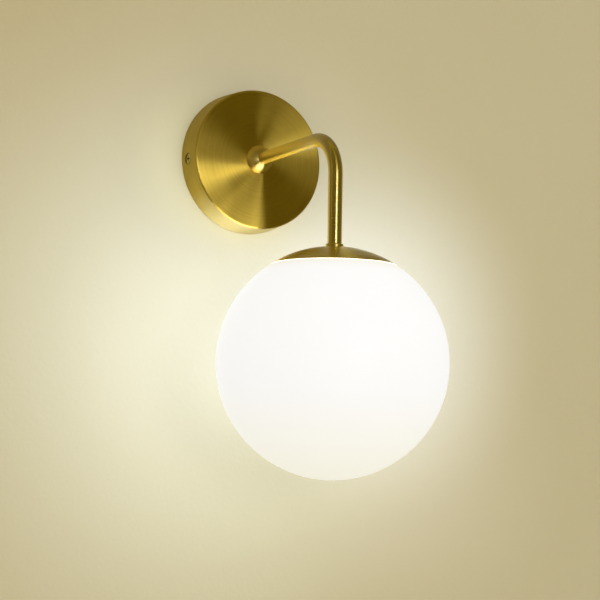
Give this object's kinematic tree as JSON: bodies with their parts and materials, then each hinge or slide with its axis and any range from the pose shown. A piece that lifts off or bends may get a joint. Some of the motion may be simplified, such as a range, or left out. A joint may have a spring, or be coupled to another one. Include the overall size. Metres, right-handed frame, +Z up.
{
  "type": "wall lamp",
  "caption": "Wall lamp: a round brass cup on the wall, a tube that comes out and bends down, and an opal glass globe under a brass cap.",
  "frame": {"origin": "centre of the round cup on the wall plane, midway between the bracket's two wall slots", "axes": "+Y into the wall, -Y out to the room, +Z up, +X to the right as seen from the room"},
  "size_m": [0.16, 0.2165, 0.2945],
  "materials": {
    "zinc_steel": "zinc plated pressed steel",
    "spun_brass": "satin spun brass with round brushing",
    "satin_brass": "satin brass, brushed round the tube",
    "polished_brass": "polished brass",
    "cap_brass": "satin spun brass",
    "brass_screw": "brass plated screw",
    "terminal_brass": "plain machined brass",
    "spring_steel": "rolled spring steel",
    "white_plastic": "moulded, matt",
    "black_plastic": "moulded, matt",
    "holder_ceramic": "unglazed pressed ceramic",
    "opal_glass": "blown opal glass, gloss, lit from inside",
    "bulb_plastic": "moulded, matt",
    "bulb_cover": "milky diffuser",
    "led_board": "white circuit board",
    "led_phosphor": "yellow phosphor",
    "pin_wire": "bright tinned wire",
    "brown_sheath": "silicone sheath",
    "blue_sheath": "silicone sheath",
    "green_sheath": "green and yellow sheath"
  },
  "bodies": {
    "root": {"wall_bracket": "zinc_steel", "backplate": "spun_brass", "side_screws": "brass_screw", "earth_screw": "brass_screw", "earth_washer": "zinc_steel", "terminal_block": "white_plastic", "terminal_sleeves": "terminal_brass", "terminal_screws": "zinc_steel", "block_screw": "zinc_steel", "arm_tube": "satin_brass", "arm_collar": "polished_brass", "plate_washer": "zinc_steel", "earth_tag": "terminal_brass", "upper_lock_washer": "zinc_steel", "upper_nut": "terminal_brass", "upper_bush": "black_plastic", "lower_bush": "black_plastic", "foot_ring": "polished_brass", "shade_cap": "cap_brass", "globe_spring": "spring_steel", "holder_strap": "zinc_steel", "lower_lock_washer": "zinc_steel", "lower_nut": "terminal_brass", "lampholder": "holder_ceramic", "lampholder_contacts": "spring_steel", "holder_screws": "zinc_steel", "live_lead": "brown_sheath", "neutral_lead": "blue_sheath", "earth_lead": "green_sheath", "lead_ferrules": "pin_wire"},
    "globe": {"globe": "opal_glass"},
    "bulb": {"bulb_base": "bulb_plastic", "bulb_pins": "pin_wire", "bulb_cover": "bulb_cover", "bulb_board": "led_board", "bulb_leds": "led_phosphor"}
  },
  "joints": [
    {"name": "globe_pull", "type": "slide", "parent": "root", "child": "globe", "axis": [0, 0, -1], "range_m": [0, 0.1], "deforming": ["globe_spring"]},
    {"name": "bulb_pull", "type": "slide", "parent": "root", "child": "bulb", "axis": [0, 0, -1], "range_m": [0, 0.025]}
  ]
}
